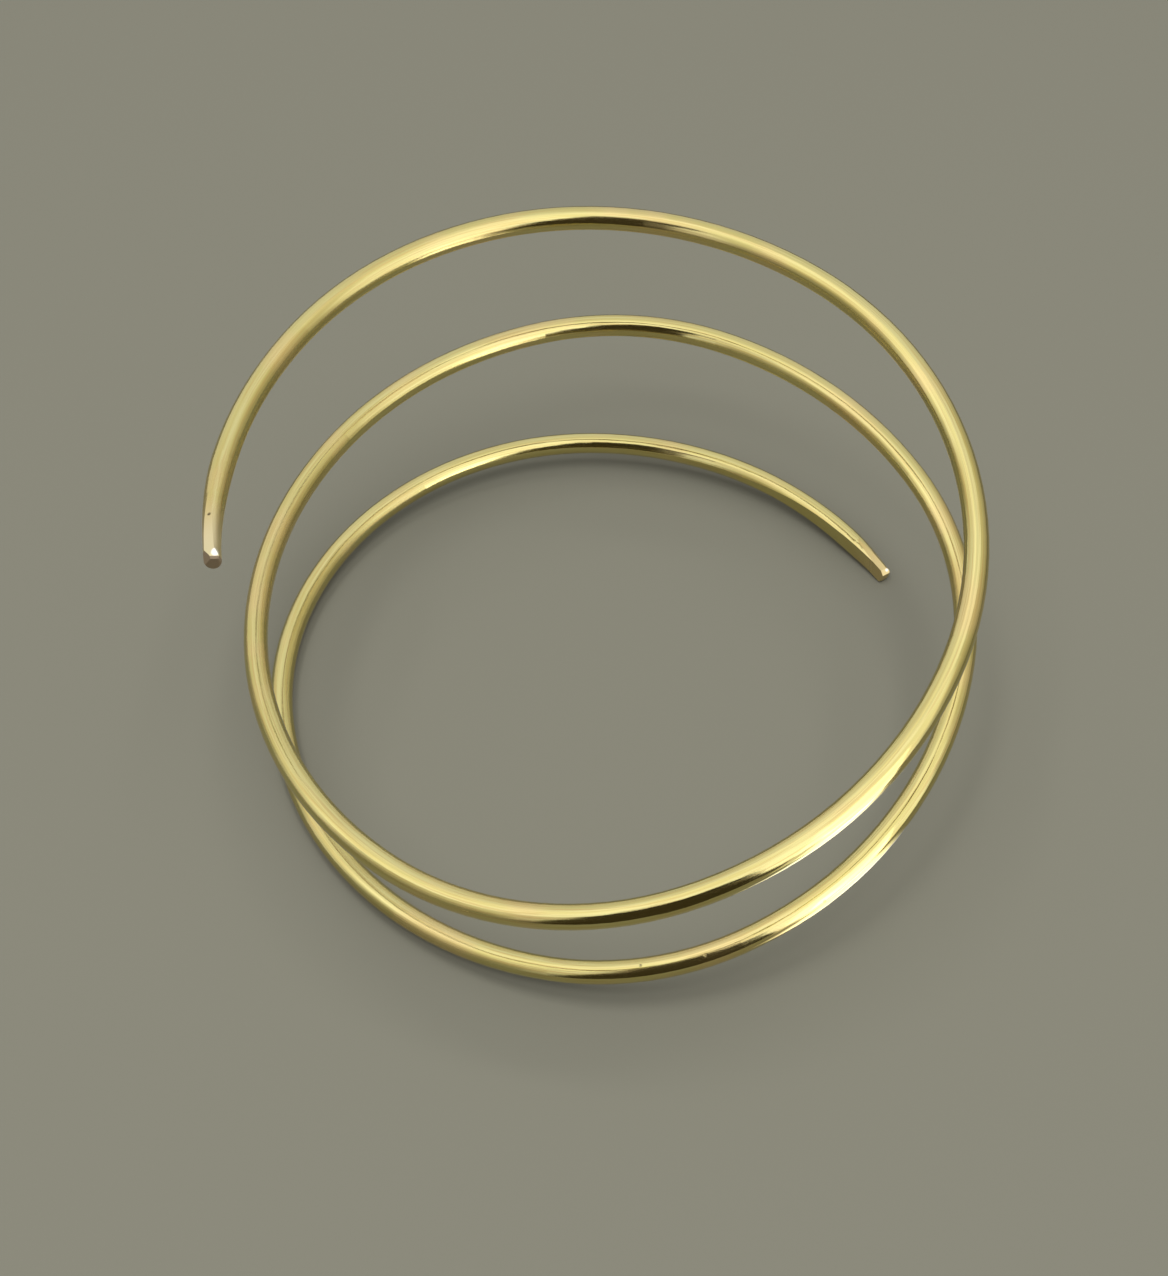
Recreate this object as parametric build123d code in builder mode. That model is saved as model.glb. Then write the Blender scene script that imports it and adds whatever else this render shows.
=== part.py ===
"""Open spiral arm cuff: one length of round brass wire wound into about two and a half turns.

The cuff lies as it rests by itself, on the plane Z = 0: on the tip of its lower end and on the
underside of its lowest turn. The origin is on that plane, under the middle of the cuff.
"""
from build123d import *
from collections import namedtuple
import math
import os

# Driving dimensions, in millimetres
wire_diameter = 3.0
coil_radius = 44.8
coil_pitch = 22.5

# The wire as it was bent by hand, from its upper end to its lower end
# turn: degrees that the stretch turns through, clockwise seen from above
# bend: its bend radius as a share of coil_radius
Stretch = namedtuple("Stretch", "turn bend")
stretches = [
    Stretch(turn=43.4, bend=1.090),
    Stretch(turn=66, bend=0.955),
    Stretch(turn=28, bend=1.075),
    Stretch(turn=77, bend=0.980),
    Stretch(turn=51, bend=1.100),
    Stretch(turn=53, bend=0.900),
    Stretch(turn=87, bend=1.080),
    Stretch(turn=40, bend=1.065),
    Stretch(turn=36, bend=0.880),
    Stretch(turn=39, bend=1.135),
    Stretch(turn=39, bend=0.870),
    Stretch(turn=59, bend=1.105),
    Stretch(turn=34, bend=0.910),
    Stretch(turn=67, bend=1.090),
    Stretch(turn=66, bend=0.915),
    Stretch(turn=35, bend=0.980),
    Stretch(turn=21, bend=1.155),
    Stretch(turn=36.9, bend=1.080),
]

# Flats filed on the two ends
# around: degrees round the wire, from its upper side towards the inside of the coil
# depth: metal taken off at the tip, and length: how far back from the tip the flat runs out,
# both as shares of wire_diameter
Flat = namedtuple("Flat", "around depth length")

# The two ends of the wire: height and width of the tip, length of the taper behind it and
# rounding of its edge, as shares of wire_diameter, and the flats
End = namedtuple("End", "height width taper rounding flats")
upper_end = End(
    height=0.87,
    width=0.68,
    taper=5.2,
    rounding=0.12,
    flats=[
        Flat(around=-15, depth=0.10, length=3.2),
        Flat(around=14, depth=0.18, length=0.45),
        Flat(around=-50, depth=0.18, length=0.45),
    ],
)
lower_end = End(
    height=0.80,
    width=0.76,
    taper=2.8,
    rounding=0.13,
    flats=[
        Flat(around=74, depth=0.19, length=9.5),
        Flat(around=-8, depth=0.06, length=2.2),
        Flat(around=-8, depth=0.22, length=0.3),
    ],
)

# The foot: where the lowest turn touches what the cuff lies on, looked for between these shares
# of a turn back from the lower tip, to within this length in millimetres
nearest_foot = 0.35
farthest_foot = 0.65
foot_tolerance = 0.001

taper_sections = 6
flat_sections = 6
wire_radius = wire_diameter / 2
turn_length = 2 * math.pi * coil_radius
slope = math.atan2(coil_pitch, turn_length)
overrun = wire_diameter

# Bend: one stretch as an arc in space, with the direction of its centre of curvature as normal
Bend = namedtuple("Bend", "start tangent normal radius angle")


def heading(turned):
    """Direction of the wire, running down and clockwise, after it has turned this many degrees."""
    compass = math.radians(90 - turned)
    level = math.cos(slope)
    return Vector(level * math.cos(compass), level * math.sin(compass), -math.sin(slope))


def point_on(bend, share):
    """Point of the centre line at this share of a bend."""
    angle = share * bend.angle
    along = bend.tangent * (bend.radius * math.sin(angle))
    across = bend.normal * (bend.radius * (1 - math.cos(angle)))
    return bend.start + along + across


def tangent_on(bend, share):
    """Direction of the wire at this share of a bend."""
    angle = share * bend.angle
    return bend.tangent * math.cos(angle) + bend.normal * math.sin(angle)


def normal_on(bend, share):
    """Direction of the centre of curvature at this share of a bend."""
    angle = share * bend.angle
    return bend.normal * math.cos(angle) - bend.tangent * math.sin(angle)


def part_of(bend, first, last):
    """The arc between two shares of a bend."""
    return Bend(
        point_on(bend, first),
        tangent_on(bend, first),
        normal_on(bend, first),
        bend.radius,
        bend.angle * (last - first),
    )


def bend_wire():
    """Chain of arcs, each one tangent to the last, round an upright axis."""
    bends = []
    start = Vector(-coil_radius, 0, 0)
    turned = 0
    for stretch in stretches:
        tangent = heading(turned)
        turned += stretch.turn
        next_tangent = heading(turned)
        angle = math.radians(tangent.get_angle(next_tangent))
        normal = (next_tangent - tangent * math.cos(angle)).normalized()
        bends.append(Bend(start, tangent, normal, stretch.bend * coil_radius, angle))
        start = point_on(bends[-1], 1)
    return bends


def points_along(bends, spacing):
    """Points of the centre line at an even spacing along the wire."""
    points = []
    for bend in bends:
        steps = math.ceil(bend.radius * bend.angle / spacing)
        points += [point_on(bend, step / steps) for step in range(steps)]
    points.append(point_on(bends[-1], 1))
    return points


def middle_of(points):
    """Centre of mass of points that lie evenly along the wire."""
    total = Vector(0, 0, 0)
    for point in points:
        total += point
    return total / len(points)


def at_length(bends, length):
    """The bend that holds this length of the wire, and the share of it."""
    for bend in bends:
        arc_length = bend.radius * bend.angle
        if length <= arc_length:
            return bend, length / arc_length
        length -= arc_length
    return bends[-1], 1


def resting_pose(bends):
    """Direction that is up when the wire lies still, and its foot on the centre line.

    It stands on the underside of its lower tip and on the foot, where the wire runs level.
    Its centre of mass is straight above the line between the two.
    """
    centre = middle_of(points_along(bends, wire_diameter))
    tip = point_on(bends[-1], 1)
    tip_rise = wire_radius * (1 - lower_end.height)
    wire_length = sum(bend.radius * bend.angle for bend in bends)
    falling = wire_length - farthest_foot * turn_length
    rising = wire_length - nearest_foot * turn_length
    up = Vector(0, 0, 1)
    while rising - falling > foot_tolerance:
        halfway = (falling + rising) / 2
        bend, share = at_length(bends, halfway)
        foot = point_on(bend, share)
        line = (tip + up * tip_rise - foot).normalized()
        arm = centre - foot
        up = (arm - line * arm.dot(line)).normalized()
        if tangent_on(bend, share).dot(up) > 0:
            falling = halfway
        else:
            rising = halfway
    return up, foot


def lay_down(bends):
    """The same arcs as the wire rests on the plane Z = 0, with the origin under its middle."""
    up, foot = resting_pose(bends)
    ground = Plane(origin=(0, 0, 0), x_dir=Vector(1, 0, 0) - up * up.X, z_dir=up)
    turn = ground.to_local_coords
    laid = [Bend(turn(b.start), turn(b.tangent), turn(b.normal), b.radius, b.angle) for b in bends]
    points = points_along(laid, wire_diameter / 4)
    middle_x = (min(p.X for p in points) + max(p.X for p in points)) / 2
    middle_y = (min(p.Y for p in points) + max(p.Y for p in points)) / 2
    shift = Vector(middle_x, middle_y, turn(foot).Z - wire_radius)
    return [Bend(b.start - shift, b.tangent, b.normal, b.radius, b.angle) for b in laid]


def half_sizes(end, length):
    """Half the height and half the width of the wire this length back from the tip of an end."""
    share = min(length / (end.taper * wire_diameter), 1)
    thickening = (1 - math.cos(share * math.pi)) / 2
    half_height = wire_radius * (end.height + (1 - end.height) * thickening)
    half_width = wire_radius * (end.width + (1 - end.width) * thickening)
    return half_height, half_width


def back_from_tip(bend, length):
    """Share of an end bend that lies this length back from its tip."""
    share = length / (bend.radius * bend.angle)
    return share if bend is upper_bend else 1 - share


def cross_section(bend, length):
    """Plane across the wire this length back from its tip, its X axis on the wire's upper side."""
    share = back_from_tip(bend, length)
    along = tangent_on(bend, share)
    upper_side = normal_on(bend, share).cross(along)
    outwards = along * -1 if bend is upper_bend else along
    return Plane(origin=point_on(bend, share), x_dir=upper_side, z_dir=outwards)


def flat_section(bend, end, flat, length):
    """Plane across the wire this length back from the tip, on a flat, its X axis facing off it."""
    section = cross_section(bend, length)
    inner_side = normal_on(bend, back_from_tip(bend, length))
    around = math.radians(flat.around)
    off_wire = section.x_dir * math.cos(around) + inner_side * math.sin(around)
    half_height, half_width = half_sizes(end, length)
    half_size = math.hypot(half_height * math.cos(around), half_width * math.sin(around))
    sunk = flat.depth * (wire_diameter - length / flat.length)
    return Plane(
        origin=section.origin + off_wire * (half_size - sunk),
        x_dir=off_wire,
        z_dir=section.z_dir,
    )


bends = lay_down(bend_wire())
upper_bend = bends[0]
lower_bend = bends[-1]
upper_taper = upper_end.taper * wire_diameter
lower_taper = lower_end.taper * wire_diameter
round_bends = [part_of(upper_bend, back_from_tip(upper_bend, upper_taper), 1)]
round_bends += bends[1:-1]
round_bends.append(part_of(lower_bend, 0, back_from_tip(lower_bend, lower_taper)))

with BuildPart() as coil_wire:
    # Round wire between the two tapers
    with BuildLine() as centre_line:
        for bend in round_bends:
            ThreePointArc(bend.start, point_on(bend, 0.5), point_on(bend, 1))
    with BuildSketch(cross_section(upper_bend, upper_taper)):
        Circle(wire_radius)
    sweep(path=centre_line.wire())

    # Tapered, rounded and filed ends
    for bend, end in ((upper_bend, upper_end), (lower_bend, lower_end)):
        for step in range(taper_sections + 1):
            length = end.taper * wire_diameter * (1 - step / taper_sections)
            with BuildSketch(cross_section(bend, length)):
                Ellipse(*half_sizes(end, length))
        loft()
        tip = cross_section(bend, 0).origin
        tip_face = coil_wire.faces().sort_by_distance(tip)[0]
        fillet(tip_face.edges(), end.rounding * wire_diameter)
        for flat in end.flats:
            flat_length = flat.length * wire_diameter
            for step in range(flat_sections + 1):
                length = flat_length + overrun - (flat_length + 2 * overrun) * step / flat_sections
                with BuildSketch(flat_section(bend, end, flat, length)):
                    Rectangle(overrun, 2 * overrun, align=(Align.MIN, Align.CENTER))
            loft(mode=Mode.SUBTRACT)

coil_wire.part.label = "coil_wire"

os.makedirs("parts", exist_ok=True)
export_step(coil_wire.part, "parts/coil_wire.step")
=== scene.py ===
import math

import bpy
from mathutils import Matrix, Vector

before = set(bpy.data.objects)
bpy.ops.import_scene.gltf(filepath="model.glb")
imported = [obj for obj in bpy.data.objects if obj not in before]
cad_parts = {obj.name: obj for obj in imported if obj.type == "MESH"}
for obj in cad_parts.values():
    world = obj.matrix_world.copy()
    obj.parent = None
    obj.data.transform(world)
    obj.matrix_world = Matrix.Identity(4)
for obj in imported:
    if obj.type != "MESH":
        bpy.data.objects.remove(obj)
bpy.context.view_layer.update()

MM = 0.001
DEGREES_PER_RADIAN = 180 / math.pi

# Camera: the way it looks, in degrees, clockwise from +Y and downwards, the point it looks at, and
# its picture, in pixels
CAMERA_AZIMUTH = 9.451
CAMERA_ELEVATION = 52.620
CAMERA_ROLL = -0.058
CAMERA_TARGET = Vector((-3.72, -4.06, 25.0)) * MM
CAMERA_DISTANCE = 264.69 * MM
CAMERA_CLIP_START = 0.01
CAMERA_CLIP_END = 20
FOCAL_LENGTH_PX = 2094.0
PICTURE_HEIGHT_PX = 1276
SENSOR = 36.0

# The room that the polished wire mirrors: walls that get brighter up to STOREY degrees, and a
# ceiling, which they fade into between two elevations
STOREY = 52
WALL_LOW = 0.83
WALL_HIGH = 0.95
CEILING = 1.36
CEILING_FADE = (48, 70)
WHITE = (1.0, 1.0, 1.0)
WARM = (1.05, 1.0, 0.85)
COOL = (0.98, 1.0, 1.04)

# Areas of light and dark in front of it, later ones over earlier ones
# azimuth: degrees clockwise from +Y, lean: how far its first edge moves for each degree upwards,
# top: elevation where it ends, soft: degrees that its edges fade over,
# low and high: brightness at the horizon and at STOREY degrees up, colour: tint of the light
AREAS = [
    dict(azimuth=(-15, 52), lean=0, top=80, soft=24, low=0.72, high=0.95, colour=COOL),
    dict(azimuth=(50, 114), lean=0, top=62, soft=26, low=0.40, high=0.74, colour=WARM),
    dict(azimuth=(122, 150), lean=-0.3, top=70, soft=10, low=1.32, high=1.32, colour=WHITE),
    dict(azimuth=(138, 186), lean=0, top=70, soft=16, low=1.62, high=1.55, colour=WHITE),
    dict(azimuth=(236, 296), lean=0, top=60, soft=8, low=0.45, high=1.34, colour=WHITE),
    dict(azimuth=(218, 264), lean=0, top=40, soft=11, low=0.32, high=0.92, colour=WARM),
    dict(azimuth=(270, 284), lean=0, top=66, soft=12, low=0.84, high=1.50, colour=WHITE),
    dict(azimuth=(292, 305), lean=0, top=50, soft=10, low=0.39, high=1.02, colour=WARM),
    dict(azimuth=(212, 221), lean=0, top=44, soft=8, low=0.65, high=1.20, colour=WHITE),
]

# The soft square lamp over the cuff that draws its shadows on the floor, in degrees and metres
LAMP_AZIMUTH = 200
LAMP_ELEVATION = 80
LAMP_DISTANCE = 1.2
LAMP_SIZE = 0.8
LAMP_LIGHT = 9.0

# Bright cards that stand on the floor in front of the cuff, for reflections only
# azimuth: degrees clockwise from +Y, distance, width and height: in millimetres
CARDS = [
    dict(azimuth=144.4, distance=84, width=27, height=40, light=1.4),
    dict(azimuth=146.5, distance=90, width=38, height=92, light=0.8),
]

# Sheen on the floor before them, for reflections only: a band that runs away from the cuff
# azimuth: degrees clockwise from +Y, first and last: where it begins and ends, left, right and
# soft: how far it reaches to the sides of the cuff's middle and fades, above: its height over the
# floor, all in millimetres, light and floor: brightness along its middle and its sides
SHEEN = dict(
    azimuth=132, first=44, last=112, left=23, right=1, soft=11, above=0.2, light=2.6, floor=0.24
)

# Dark card that stands in front of the cuff, for reflections only: its outline as it faces the
# cuff, rightwards and upwards, in millimetres
DARK_AZIMUTH = 189
DARK_DISTANCE = 172
DARK_LIGHT = 0.04
DARK_COLOUR = (1.0, 0.79, 0.40)
DARK_OUTLINE = [
    (-70, 0), (122, 0), (112, 20), (95, 45), (82, 70), (72, 100), (63, 150), (54, 185), (34, 192),
    (30, 225), (22, 255), (8, 300), (0, 385), (-100, 385), (-100, 300), (-86, 240), (-70, 200),
]

# Floor: half its side, in metres, and its finish
FLOOR_REACH = 3.0
FLOOR_COLOUR = (0.120, 0.117, 0.093)
FLOOR_ROUGHNESS = 0.60

# Brass: even metal, deeper streaks, rosy patches, drawn lines, satin upper end, tan lower end, raw
# cut darkened with painted shade, painted glints on corners of the ends, and dark nicks
BRASS = (0.70, 0.62, 0.265)
BRASS_DEEP = (0.63, 0.54, 0.20)
BRASS_ROSY = (0.75, 0.575, 0.265)
BRASS_LINE = (0.62, 0.47, 0.18)
BRASS_SATIN = (0.80, 0.70, 0.46)
BRASS_TAN = (0.76, 0.60, 0.31)
# painted shade: the dark colour of the raw cut, as a face in shade that mirrors the floor
BRASS_CUT_SHADE = (0.36, 0.28, 0.19)
# painted highlight: near-white glints on the corners of the two ends
BRASS_GLINT = (1.0, 0.96, 0.86)
BRASS_MARK = (0.06, 0.04, 0.02)

# The coil's axis and the two tips of the wire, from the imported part, in its own frame
COIL_CENTRE = Vector((-0.11, 0.02, 28.0)) * MM
COIL_AXIS = Vector((-0.0638, -0.1203, 0.9907))
UPPER_TIP = (-46.9, -6.1, 51.1)
UPPER_OUTWARDS = Vector((0.004, -0.999, -0.036))
LOWER_TIP = (43.7, 17.6, 1.2)

# Noise over the wire, in millimetres. Bands and lines are drawn out along it, fineness: how many
# there are across the wire's radius, and STREAK_SHIFT makes turns above each other differ
BANDS = dict(fineness=3.2, length=22)
LINES = dict(fineness=11, length=9)
STREAK_SHIFT = -1.7
PATCH_SIZE = 11
DENT_SIZE = 6
GRAIN_SIZE = 0.45

# Tints laid over the even metal, each over the ones before it
# first and last: the values of its noise that it fades in between, share: how far it then covers
TINTS = [
    dict(noise="bands", first=0.38, last=0.66, share=1.0, colour=BRASS_DEEP),
    dict(noise="patches", first=0.50, last=0.66, share=0.60, colour=BRASS_ROSY),
    dict(noise="lines", first=0.48, last=0.66, share=0.75, colour=BRASS_LINE),
]

# Satin ends: how far each reaches round its tip and fades, in millimetres, how rough the lower one
# is beside the upper one, and how far their colours cover the metal
UPPER_SATIN = dict(reach=2.5, fade=7.0)
LOWER_SATIN = dict(reach=1.5, fade=6.0)
LOWER_ROUGHNESS = 0.8
SATIN_COVER = 0.75

# The raw cut of the upper end, its dark colour painted shade: what it fades in between on its face
# and on the corner broken off beside it, as cosines of the angle to the way each faces, and on its
# edge, as millimetres past the tip, then how far it reaches round the tip and fades, in
# millimetres
CUT_FACE = (0.55, 0.80)
BROKEN_FACING = Vector((-0.75, -0.38, 0.54))
BROKEN_CORNER = (0.95, 0.98)
CUT_EDGE = (-0.36, -0.26)
CUT_ZONE = dict(reach=1.6, fade=0.4)

# Painted glints on corners of the ends: where each is and how far it reaches and fades, in
# millimetres
GLINT_CORNERS = [((-46.46, -5.40, 52.14), 0.36), ((44.09, 18.13, 2.10), 0.12)]
GLINT_FADE = 0.22

# Nicks and a pit in the surface, painted dark: where each one is, how far it reaches, in
# millimetres, and how dark it is, then the share of the reach that is full, and the grain that
# breaks it up
MARKS = [
    ((-46.77, 0.04, 52.58), 0.30, 0.85),
    ((4.95, -42.40, 8.90), 0.45, 0.95),
    ((-3.07, -41.92, 7.85), 0.25, 0.85),
    ((20.27, -39.12, 11.90), 0.30, 0.35),
]
MARK_CORE = 0.4
MARK_GRAIN = (0.30, 0.50)

# Roughness: of the polished metal and of a drawn line, and what is added to it in worn patches, on
# the satin ends, on the left of the cuff, and in the raw cut and the nicks
# FADE: the values of the noise, or of X in millimetres, that it comes in between
ROUGH_POLISHED = 0.07
ROUGH_LINE = 0.17
ROUGH_LINE_FADE = (0.35, 0.75)
ROUGH_PATCH = 0.06
ROUGH_PATCH_FADE = (0.45, 0.70)
ROUGH_SATIN = 0.20
ROUGH_LEFT = 0.09
ROUGH_LEFT_FADE = (5, -30)
ROUGH_CUT = 0.25

# Relief: height of each noise, and depth of the nicks, in millimetres
BAND_HEIGHT = 0.016
LINE_HEIGHT = 0.007
DENT_HEIGHT = 0.040
GRAIN_HEIGHT = 0.010
MARK_DEPTH = 0.03


def compass(azimuth, elevation=0):
    """Unit vector for an azimuth and an elevation in degrees."""
    level = math.cos(math.radians(elevation))
    return Vector((
        level * math.sin(math.radians(azimuth)),
        level * math.cos(math.radians(azimuth)),
        math.sin(math.radians(elevation)),
    ))


def place_camera():
    """Camera at the photograph's angle, looking down at the middle of the cuff."""
    look = compass(CAMERA_AZIMUTH, -CAMERA_ELEVATION)
    level = compass(CAMERA_AZIMUTH + 90)
    upright = level.cross(look)
    roll = math.radians(CAMERA_ROLL)
    right = level * math.cos(roll) + upright * math.sin(roll)
    up = upright * math.cos(roll) - level * math.sin(roll)
    data = bpy.data.cameras.new("camera")
    data.sensor_width = SENSOR
    data.sensor_height = SENSOR
    data.sensor_fit = "VERTICAL"
    data.lens = FOCAL_LENGTH_PX * SENSOR / PICTURE_HEIGHT_PX
    data.clip_start = CAMERA_CLIP_START
    data.clip_end = CAMERA_CLIP_END
    camera = bpy.data.objects.new("camera", data)
    turned = Matrix((right, up, -look)).transposed().to_4x4()
    camera.matrix_world = Matrix.Translation(CAMERA_TARGET - look * CAMERA_DISTANCE) @ turned
    bpy.context.scene.collection.objects.link(camera)
    bpy.context.scene.camera = camera


class Nodes:
    """Short calls for adding shader nodes and linking them."""

    def __init__(self, tree):
        self.tree = tree

    def add(self, kind, **settings):
        node = self.tree.nodes.new(kind)
        for name, value in settings.items():
            setattr(node, name, value)
        return node

    def feed(self, socket, value):
        if isinstance(value, bpy.types.NodeSocket):
            self.tree.links.new(value, socket)
        else:
            socket.default_value = value

    def math(self, operation, *values):
        node = self.add("ShaderNodeMath", operation=operation)
        for socket, value in zip(node.inputs, values):
            self.feed(socket, value)
        return node.outputs[0]

    def vector(self, operation, *values):
        node = self.add("ShaderNodeVectorMath", operation=operation)
        for socket, value in zip(node.inputs, values):
            self.feed(socket, value)
        gives_number = operation in ("DOT_PRODUCT", "DISTANCE")
        return node.outputs["Value" if gives_number else "Vector"]

    def split(self, vector):
        node = self.add("ShaderNodeSeparateXYZ")
        self.feed(node.inputs[0], vector)
        return node.outputs[0], node.outputs[1], node.outputs[2]

    def combine(self, x, y, z):
        node = self.add("ShaderNodeCombineXYZ")
        for socket, value in zip(node.inputs, (x, y, z)):
            self.feed(socket, value)
        return node.outputs[0]

    def ramp(self, value, low, high, to_low=0.0, to_high=1.0, smooth=True):
        node = self.add("ShaderNodeMapRange")
        node.interpolation_type = "SMOOTHSTEP" if smooth else "LINEAR"
        self.feed(node.inputs["Value"], value)
        self.feed(node.inputs["From Min"], low)
        self.feed(node.inputs["From Max"], high)
        self.feed(node.inputs["To Min"], to_low)
        self.feed(node.inputs["To Max"], to_high)
        return node.outputs[0]

    def mix(self, share, first, second):
        """Colour mix. Its factor is input 0, its colours are inputs 6 and 7 and output 2."""
        node = self.add("ShaderNodeMix", data_type="RGBA")
        self.feed(node.inputs[0], share)
        for socket, colour in ((node.inputs[6], first), (node.inputs[7], second)):
            is_socket = isinstance(colour, bpy.types.NodeSocket)
            self.feed(socket, colour if is_socket else (*colour, 1.0))
        return node.outputs[2]

    def noise(self, vector, scale, detail=2.0, w=None):
        node = self.add("ShaderNodeTexNoise", noise_dimensions="3D" if w is None else "4D")
        self.feed(node.inputs["Vector"], vector)
        self.feed(node.inputs["Scale"], scale)
        self.feed(node.inputs["Detail"], detail)
        if w is not None:
            self.feed(node.inputs["W"], w)
        return node.outputs["Fac"]


def light_room():
    """World light: a pale dome with the areas of light and dark that the wire mirrors."""
    world = bpy.data.worlds.new("room")
    bpy.context.scene.world = world
    world.use_nodes = True
    world.node_tree.nodes.clear()
    nodes = Nodes(world.node_tree)
    direction = nodes.add("ShaderNodeTexCoord").outputs["Generated"]
    x, y, z = nodes.split(direction)
    azimuth = nodes.math("MULTIPLY", nodes.math("ARCTAN2", x, y), DEGREES_PER_RADIAN)
    elevation = nodes.math("MULTIPLY", nodes.math("ARCSINE", z), DEGREES_PER_RADIAN)
    height = nodes.ramp(elevation, 0, STOREY)
    colour = nodes.mix(height, [WALL_LOW] * 3, [WALL_HIGH] * 3)
    colour = nodes.mix(nodes.ramp(elevation, *CEILING_FADE), colour, [CEILING] * 3)
    for area in AREAS:
        first, last = area["azimuth"]
        half = (last - first) / 2
        top, soft = area["top"], area["soft"]
        offset = nodes.math("SUBTRACT", azimuth, (first + last) / 2)
        offset = nodes.math("WRAP", offset, 180.0, -180.0)
        first_edge = nodes.math("MULTIPLY_ADD", elevation, area["lean"], -half)
        past_first = nodes.math("SUBTRACT", offset, first_edge)
        past_first = nodes.ramp(past_first, -soft / 2, soft / 2)
        before_last = nodes.ramp(offset, half - soft / 2, half + soft / 2, 1.0, 0.0)
        below_top = nodes.ramp(elevation, top - soft, top + soft, 1.0, 0.0)
        share = nodes.math("MULTIPLY", past_first, before_last)
        share = nodes.math("MULTIPLY", share, below_top)
        low, high = ([area[end] * c for c in area["colour"]] for end in ("low", "high"))
        colour = nodes.mix(share, colour, nodes.mix(height, low, high))
    background = nodes.add("ShaderNodeBackground")
    nodes.feed(background.inputs["Color"], colour)
    output = nodes.add("ShaderNodeOutputWorld")
    world.node_tree.links.new(background.outputs[0], output.inputs[0])


def hang_light(name, width, height, radiance, position, facing):
    """Rectangular area light of even brightness that faces along a direction."""
    data = bpy.data.lights.new(name, "AREA")
    data.shape = "RECTANGLE"
    data.size = width
    data.size_y = height
    data.energy = radiance * math.pi * width * height
    light = bpy.data.objects.new(name, data)
    turned = facing.to_track_quat("-Z", "Y").to_matrix().to_4x4()
    light.matrix_world = Matrix.Translation(position) @ turned
    bpy.context.scene.collection.objects.link(light)
    return light


def hang_lights():
    """Lamp over the cuff, for shadows only, and cards in front of it, for reflections only."""
    towards = compass(LAMP_AZIMUTH, LAMP_ELEVATION)
    lamp = hang_light("lamp", LAMP_SIZE, LAMP_SIZE, LAMP_LIGHT, towards * LAMP_DISTANCE, -towards)
    lamp.visible_glossy = False
    for card in CARDS:
        towards = compass(card["azimuth"])
        width, height = card["width"] * MM, card["height"] * MM
        position = towards * card["distance"] * MM + Vector((0, 0, height / 2))
        light = hang_light("card", width, height, card["light"], position, -towards)
        light.visible_diffuse = False
        light.visible_camera = False


def add_sheet(name, corners):
    """Flat sheet with its corners in metres and a material without gloss, and its shader."""
    mesh = bpy.data.meshes.new(name)
    mesh.from_pydata(corners, [], [tuple(range(len(corners)))])
    sheet = bpy.data.objects.new(name, mesh)
    bpy.context.scene.collection.objects.link(sheet)
    material = bpy.data.materials.new(name)
    material.use_nodes = True
    shader = material.node_tree.nodes["Principled BSDF"]
    shader.inputs["Specular IOR Level"].default_value = 0.0
    mesh.materials.append(material)
    return sheet, shader


def add_card(name, corners, colour):
    """Card seen only in the wire, its corners in millimetres: its nodes and its brightness."""
    card, shader = add_sheet(name, [corner * MM for corner in corners])
    shader.inputs["Base Color"].default_value = (0.0, 0.0, 0.0, 1)
    shader.inputs["Emission Color"].default_value = (*colour, 1)
    card.visible_camera = False
    card.visible_diffuse = False
    card.visible_shadow = False
    return Nodes(shader.id_data), shader.inputs["Emission Strength"]


def stand_dark_card():
    """Dark card with the outline of what stands before the cuff."""
    towards = compass(DARK_AZIMUTH)
    rightwards = Vector((0, 0, 1)).cross(towards)
    foot = towards * DARK_DISTANCE
    outline = [foot + rightwards * x + Vector((0, 0, z)) for x, z in DARK_OUTLINE]
    nodes, strength = add_card("dark_card", outline, DARK_COLOUR)
    nodes.feed(strength, DARK_LIGHT)


def lay_sheen():
    """Soft-edged band of light on the floor."""
    away = compass(SHEEN["azimuth"])
    leftwards = away.cross(Vector((0, 0, 1)))
    middle = (SHEEN["left"] - SHEEN["right"]) / 2
    half = (SHEEN["left"] + SHEEN["right"]) / 2
    inner = half - SHEEN["soft"] / 2
    outer = half + SHEEN["soft"] / 2
    first, last = SHEEN["first"], SHEEN["last"]
    above = Vector((0, 0, SHEEN["above"]))
    ends = (first, -outer), (first, outer), (last, outer), (last, -outer)
    outline = [away * along + leftwards * (middle + side) + above for along, side in ends]
    nodes, strength = add_card("floor_sheen", outline, WHITE)
    position = nodes.add("ShaderNodeTexCoord").outputs["Object"]
    side = nodes.math("SUBTRACT", nodes.vector("DOT_PRODUCT", position, leftwards), middle * MM)
    side = nodes.math("ABSOLUTE", side)
    light = nodes.ramp(side, inner * MM, outer * MM, SHEEN["light"], SHEEN["floor"])
    nodes.feed(strength, light)


def lay_floor():
    """Plain floor without gloss."""
    reach = FLOOR_REACH
    corners = [(-reach, -reach, 0), (reach, -reach, 0), (reach, reach, 0), (-reach, reach, 0)]
    floor, shader = add_sheet("floor", corners)
    shader.inputs["Base Color"].default_value = (*FLOOR_COLOUR, 1)
    shader.inputs["Roughness"].default_value = FLOOR_ROUGHNESS


def streaks(nodes, place, around, fineness, length):
    """Noise drawn out along the wire: streaks per wire radius across it, length in millimetres."""
    up, out = around
    x, y, z = place
    slow = 1 / (length * MM)
    drift = nodes.math("MULTIPLY", z, slow)
    vector = nodes.combine(
        nodes.math("MULTIPLY", up, fineness),
        nodes.math("MULTIPLY", out, fineness),
        nodes.math("MULTIPLY_ADD", x, slow, drift),
    )
    shift = nodes.math("MULTIPLY", drift, STREAK_SHIFT)
    return nodes.noise(vector, 1.0, w=nodes.math("MULTIPLY_ADD", y, slow, shift))


def speckle(nodes, position, size, detail):
    """Noise of one size in millimetres every way."""
    return nodes.noise(position, 1 / (size * MM), detail)


def near(nodes, position, point, reach, fade):
    """1 within a reach of a point and 0 beyond the fade after it, all in millimetres."""
    distance = nodes.vector("DISTANCE", position, [c * MM for c in point])
    return nodes.ramp(distance, reach * MM, (reach + fade) * MM, 1.0, 0.0)


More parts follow.
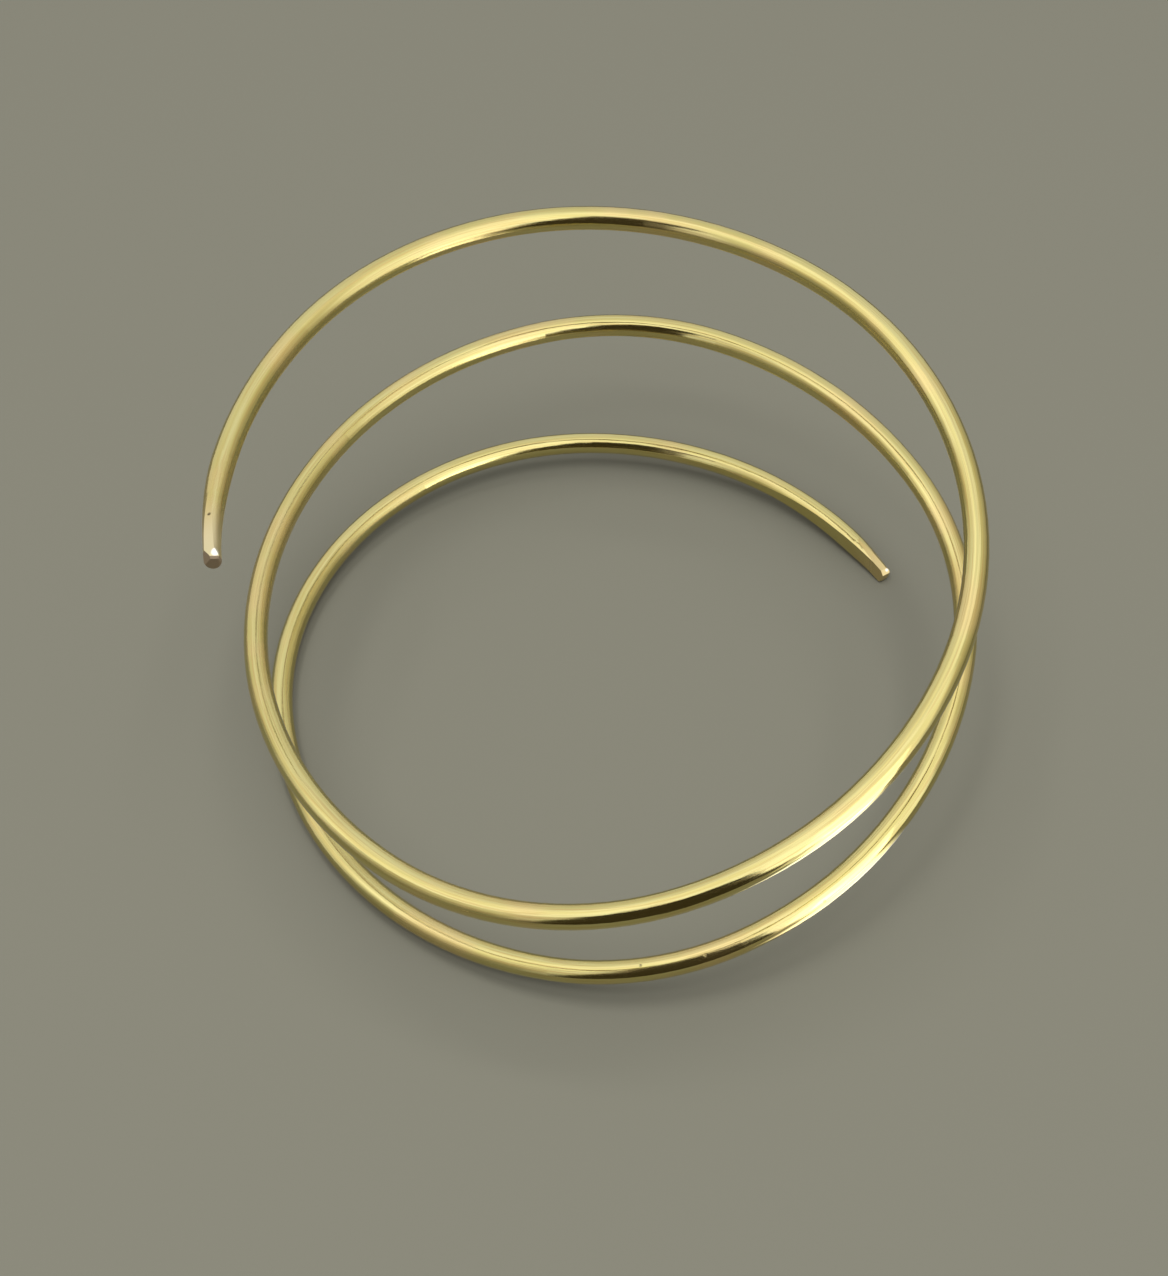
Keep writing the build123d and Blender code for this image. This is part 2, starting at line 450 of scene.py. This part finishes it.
def round_the_wire(nodes, position, normal):
    """How far the surface faces upwards along the coil's axis, and how far away from it."""
    offset = nodes.vector("SUBTRACT", position, COIL_CENTRE)
    sideways = nodes.vector("CROSS_PRODUCT", offset, COIL_AXIS)
    outwards = nodes.vector("NORMALIZE", nodes.vector("CROSS_PRODUCT", COIL_AXIS, sideways))
    upwards = nodes.vector("DOT_PRODUCT", normal, COIL_AXIS)
    return upwards, nodes.vector("DOT_PRODUCT", normal, outwards)


def raw_cut_and_shade(nodes, position, normal):
    """1 on the upper end's cut face, its edge and the corner broken off beside it: rougher, with
    painted shade.
    """
    facing = nodes.vector("DOT_PRODUCT", normal, UPPER_OUTWARDS)
    towards_corner = nodes.vector("DOT_PRODUCT", normal, BROKEN_FACING)
    from_tip = nodes.vector("SUBTRACT", position, [c * MM for c in UPPER_TIP])
    along = nodes.vector("DOT_PRODUCT", from_tip, UPPER_OUTWARDS)
    face = nodes.ramp(facing, *CUT_FACE)
    corner = nodes.ramp(towards_corner, *BROKEN_CORNER)
    edge = nodes.ramp(along, *(length * MM for length in CUT_EDGE))
    cut = nodes.math("MAXIMUM", nodes.math("MAXIMUM", face, corner), edge)
    return nodes.math("MULTIPLY", cut, near(nodes, position, UPPER_TIP, **CUT_ZONE))


def painted_glints(nodes, position, cut):
    """1 on the painted glints at the corners of the ends, outside the raw cut."""
    corners = [near(nodes, position, *corner, GLINT_FADE) for corner in GLINT_CORNERS]
    outside = nodes.math("SUBTRACT", 1.0, cut)
    return nodes.math("MULTIPLY", nodes.math("MAXIMUM", *corners), outside)


def nicks(nodes, position, grain):
    """Dark colour of the nicks and the pit, ragged by the grain."""
    marks = 0.0
    for point, reach, darkness in MARKS:
        core = reach * MARK_CORE
        mark = near(nodes, position, point, core, reach - core)
        ragged = nodes.math("MULTIPLY", mark, nodes.ramp(grain, *MARK_GRAIN, 0.0, darkness))
        marks = nodes.math("MAXIMUM", marks, ragged)
    return marks


def brass():
    """Drawn and hand-bent brass wire, polished by wear, with satin ends and a few nicks."""
    material = bpy.data.materials.new("polished_brass")
    material.use_nodes = True
    nodes = Nodes(material.node_tree)
    shader = material.node_tree.nodes["Principled BSDF"]
    surface = nodes.add("ShaderNodeTexCoord")
    position, normal = surface.outputs["Object"], surface.outputs["Normal"]
    place = nodes.split(position)
    around = round_the_wire(nodes, position, normal)
    noises = dict(
        bands=streaks(nodes, place, around, **BANDS),
        lines=streaks(nodes, place, around, **LINES),
        patches=speckle(nodes, position, PATCH_SIZE, detail=3.0),
    )
    dents = speckle(nodes, position, DENT_SIZE, detail=1.0)
    grain = speckle(nodes, position, GRAIN_SIZE, detail=2.0)
    upper = near(nodes, position, UPPER_TIP, **UPPER_SATIN)
    lower = near(nodes, position, LOWER_TIP, **LOWER_SATIN)
    satin = nodes.math("MAXIMUM", upper, nodes.math("MULTIPLY", lower, LOWER_ROUGHNESS))
    cut = raw_cut_and_shade(nodes, position, normal)
    marks = nicks(nodes, position, grain)

    colour = BRASS
    for tint in TINTS:
        share = nodes.ramp(noises[tint["noise"]], tint["first"], tint["last"], 0.0, tint["share"])
        colour = nodes.mix(share, colour, tint["colour"])
    colour = nodes.mix(nodes.math("MULTIPLY", upper, SATIN_COVER), colour, BRASS_SATIN)
    colour = nodes.mix(nodes.math("MULTIPLY", lower, SATIN_COVER), colour, BRASS_TAN)
    # painted shade: the raw cut darkened as a shaded face
    colour = nodes.mix(cut, colour, BRASS_CUT_SHADE)
    # painted glints on the corners of the two ends
    colour = nodes.mix(painted_glints(nodes, position, cut), colour, BRASS_GLINT)
    colour = nodes.mix(marks, colour, BRASS_MARK)
    nodes.feed(shader.inputs["Base Color"], colour)

    raw = nodes.math("MAXIMUM", cut, marks)
    left_fade = [x * MM for x in ROUGH_LEFT_FADE]
    lines = noises["lines"]
    rough = nodes.ramp(lines, *ROUGH_LINE_FADE, ROUGH_POLISHED, ROUGH_LINE, smooth=False)
    for added in (
        nodes.ramp(noises["patches"], *ROUGH_PATCH_FADE, 0.0, ROUGH_PATCH),
        nodes.math("MULTIPLY", satin, ROUGH_SATIN),
        nodes.ramp(place[0], *left_fade, 0.0, ROUGH_LEFT),
        nodes.math("MULTIPLY", raw, ROUGH_CUT),
    ):
        rough = nodes.math("ADD", rough, added)
    nodes.feed(shader.inputs["Roughness"], rough)

    height = nodes.math("MULTIPLY", noises["bands"], BAND_HEIGHT * MM)
    for relief, rise in (
        (lines, LINE_HEIGHT),
        (dents, DENT_HEIGHT),
        (nodes.math("MULTIPLY", grain, satin), GRAIN_HEIGHT),
        (marks, -MARK_DEPTH),
    ):
        height = nodes.math("MULTIPLY_ADD", relief, rise * MM, height)
    bump = nodes.add("ShaderNodeBump")
    bump.inputs["Strength"].default_value = 1.0
    bump.inputs["Distance"].default_value = 1.0
    nodes.feed(bump.inputs["Height"], height)
    nodes.feed(shader.inputs["Normal"], bump.outputs[0])
    shader.inputs["Metallic"].default_value = 1.0
    return material


place_camera()
light_room()
hang_lights()
stand_dark_card()
lay_sheen()
lay_floor()
metal = brass()
for slot in bpy.data.objects["coil_wire"].material_slots:
    slot.material = metal

bpy.context.scene.view_settings.view_transform = "Standard"
bpy.context.scene.view_settings.look = "None"
